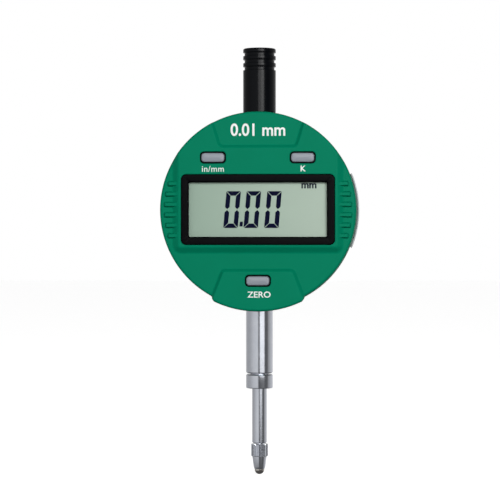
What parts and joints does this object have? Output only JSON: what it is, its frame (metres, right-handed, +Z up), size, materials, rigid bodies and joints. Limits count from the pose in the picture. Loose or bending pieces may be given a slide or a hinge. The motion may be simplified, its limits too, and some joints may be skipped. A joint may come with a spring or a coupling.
{
  "type": "digital indicator",
  "caption": "Round digital dial indicator with display, keys, clamping stem, sprung measuring spindle and screw-off spindle cap",
  "frame": {"origin": "on the spindle axis, at the middle of the stem's clamping length", "axes": "+Z up along the spindle axis, away from the measuring tip; the display faces -Y; +X is the reader's right"},
  "size_m": [0.0588, 0.039, 0.127],
  "materials": {
    "cover_green": "satin moulded plastic, fine texture",
    "case_grey": "fine spark-eroded texture",
    "lug_aluminium": "satin, fine machining lines",
    "gloss_black": "glossy",
    "clear_window": "polished clear pane",
    "lcd": "reflective grey-green display",
    "white_plastic": "moulded",
    "rubber_black": "matt",
    "circuit_board": "solder mask",
    "potting": "epoxy",
    "cell_steel": "drawn",
    "contact_brass": "rolled strip or turned",
    "bright_steel": "ground and polished",
    "carbide": "polished ball",
    "screw_steel": "plated",
    "cap_black": "black anodised, satin",
    "key_grey": "soft moulded"
  },
  "bodies": {
    "case": {"front_cover": "cover_green", "rear_case": "case_grey", "lug_back": "lug_aluminium", "display_frame": "gloss_black", "display_window": "clear_window", "lcd_glass": "lcd", "lcd_holder": "white_plastic", "zebra_strip_upper": "rubber_black", "zebra_strip_lower": "rubber_black", "main_board": "circuit_board", "processor_chip": "potting", "battery_contact_negative": "contact_brass", "battery_contact_positive": "contact_brass", "stem": "bright_steel", "stem_end_bush": "bright_steel", "wiper_seal": "rubber_black", "lower_bush": "contact_brass", "upper_bush": "contact_brass", "cap_boss": "bright_steel", "guide_rail": "bright_steel", "spring_post": "bright_steel", "return_spring": "screw_steel", "cover_screw_1": "screw_steel", "back_screw_1": "screw_steel", "cover_screw_2": "screw_steel", "back_screw_2": "screw_steel", "cover_screw_3": "screw_steel", "back_screw_3": "screw_steel", "cover_screw_4": "screw_steel", "back_screw_4": "screw_steel", "board_screw_1": "screw_steel", "board_screw_2": "screw_steel", "board_screw_3": "screw_steel", "button_collar_unit": "rubber_black", "switch_base_unit": "gloss_black", "button_collar_k": "rubber_black", "switch_base_k": "gloss_black", "button_collar_zero": "rubber_black", "switch_base_zero": "gloss_black"},
    "spindle": {"spindle": "bright_steel", "contact_point": "bright_steel", "contact_ball": "carbide", "scale_carrier": "lug_aluminium", "carrier_screw": "screw_steel", "scale_strip": "circuit_board", "stop_bumper": "rubber_black"},
    "battery_tray": {"battery_tray": "case_grey", "coin_cell": "cell_steel"},
    "cap_seal": {"cap_seal_ring": "rubber_black"},
    "spindle_cap": {"spindle_cap": "cap_black"},
    "button_unit": {"button_unit": "key_grey", "switch_plunger_unit": "white_plastic"},
    "button_k": {"button_k": "key_grey", "switch_plunger_k": "white_plastic"},
    "button_zero": {"button_zero": "key_grey", "switch_plunger_zero": "white_plastic"}
  },
  "joints": [
    {"name": "spindle_slide", "type": "slide", "parent": "case", "child": "spindle", "axis": [0, 0, 1], "range_m": [0, 0.0127], "stiffness_N_per_m": 40, "springref_m": -0.0165, "deforming": ["return_spring"]},
    {"name": "battery_tray_slide", "type": "slide", "parent": "case", "child": "battery_tray", "axis": [1, 0, 0], "range_m": [0, 0.024]},
    {"name": "cap_rise", "type": "slide", "parent": "case", "child": "cap_seal", "axis": [0, 0, 1], "range_m": [0, 0.003]},
    {"name": "cap_unscrew", "type": "hinge", "parent": "cap_seal", "child": "spindle_cap", "pos_m": [0, 0, 0.078], "axis": [0, 0, 1], "range_deg": [0, 1450]},
    {"name": "button_unit_press", "type": "slide", "parent": "case", "child": "button_unit", "axis": [0, 1, 0], "range_m": [0, 0.0005], "stiffness_N_per_m": 800, "springref_m": -0.0005},
    {"name": "button_k_press", "type": "slide", "parent": "case", "child": "button_k", "axis": [0, 1, 0], "range_m": [0, 0.0005], "stiffness_N_per_m": 800, "springref_m": -0.0005},
    {"name": "button_zero_press", "type": "slide", "parent": "case", "child": "button_zero", "axis": [0, 1, 0], "range_m": [0, 0.0005], "stiffness_N_per_m": 800, "springref_m": -0.0005}
  ],
  "couplings": [
    {"joint": "cap_unscrew", "follows": "cap_rise", "rad_per_m": 8377.6}
  ]
}
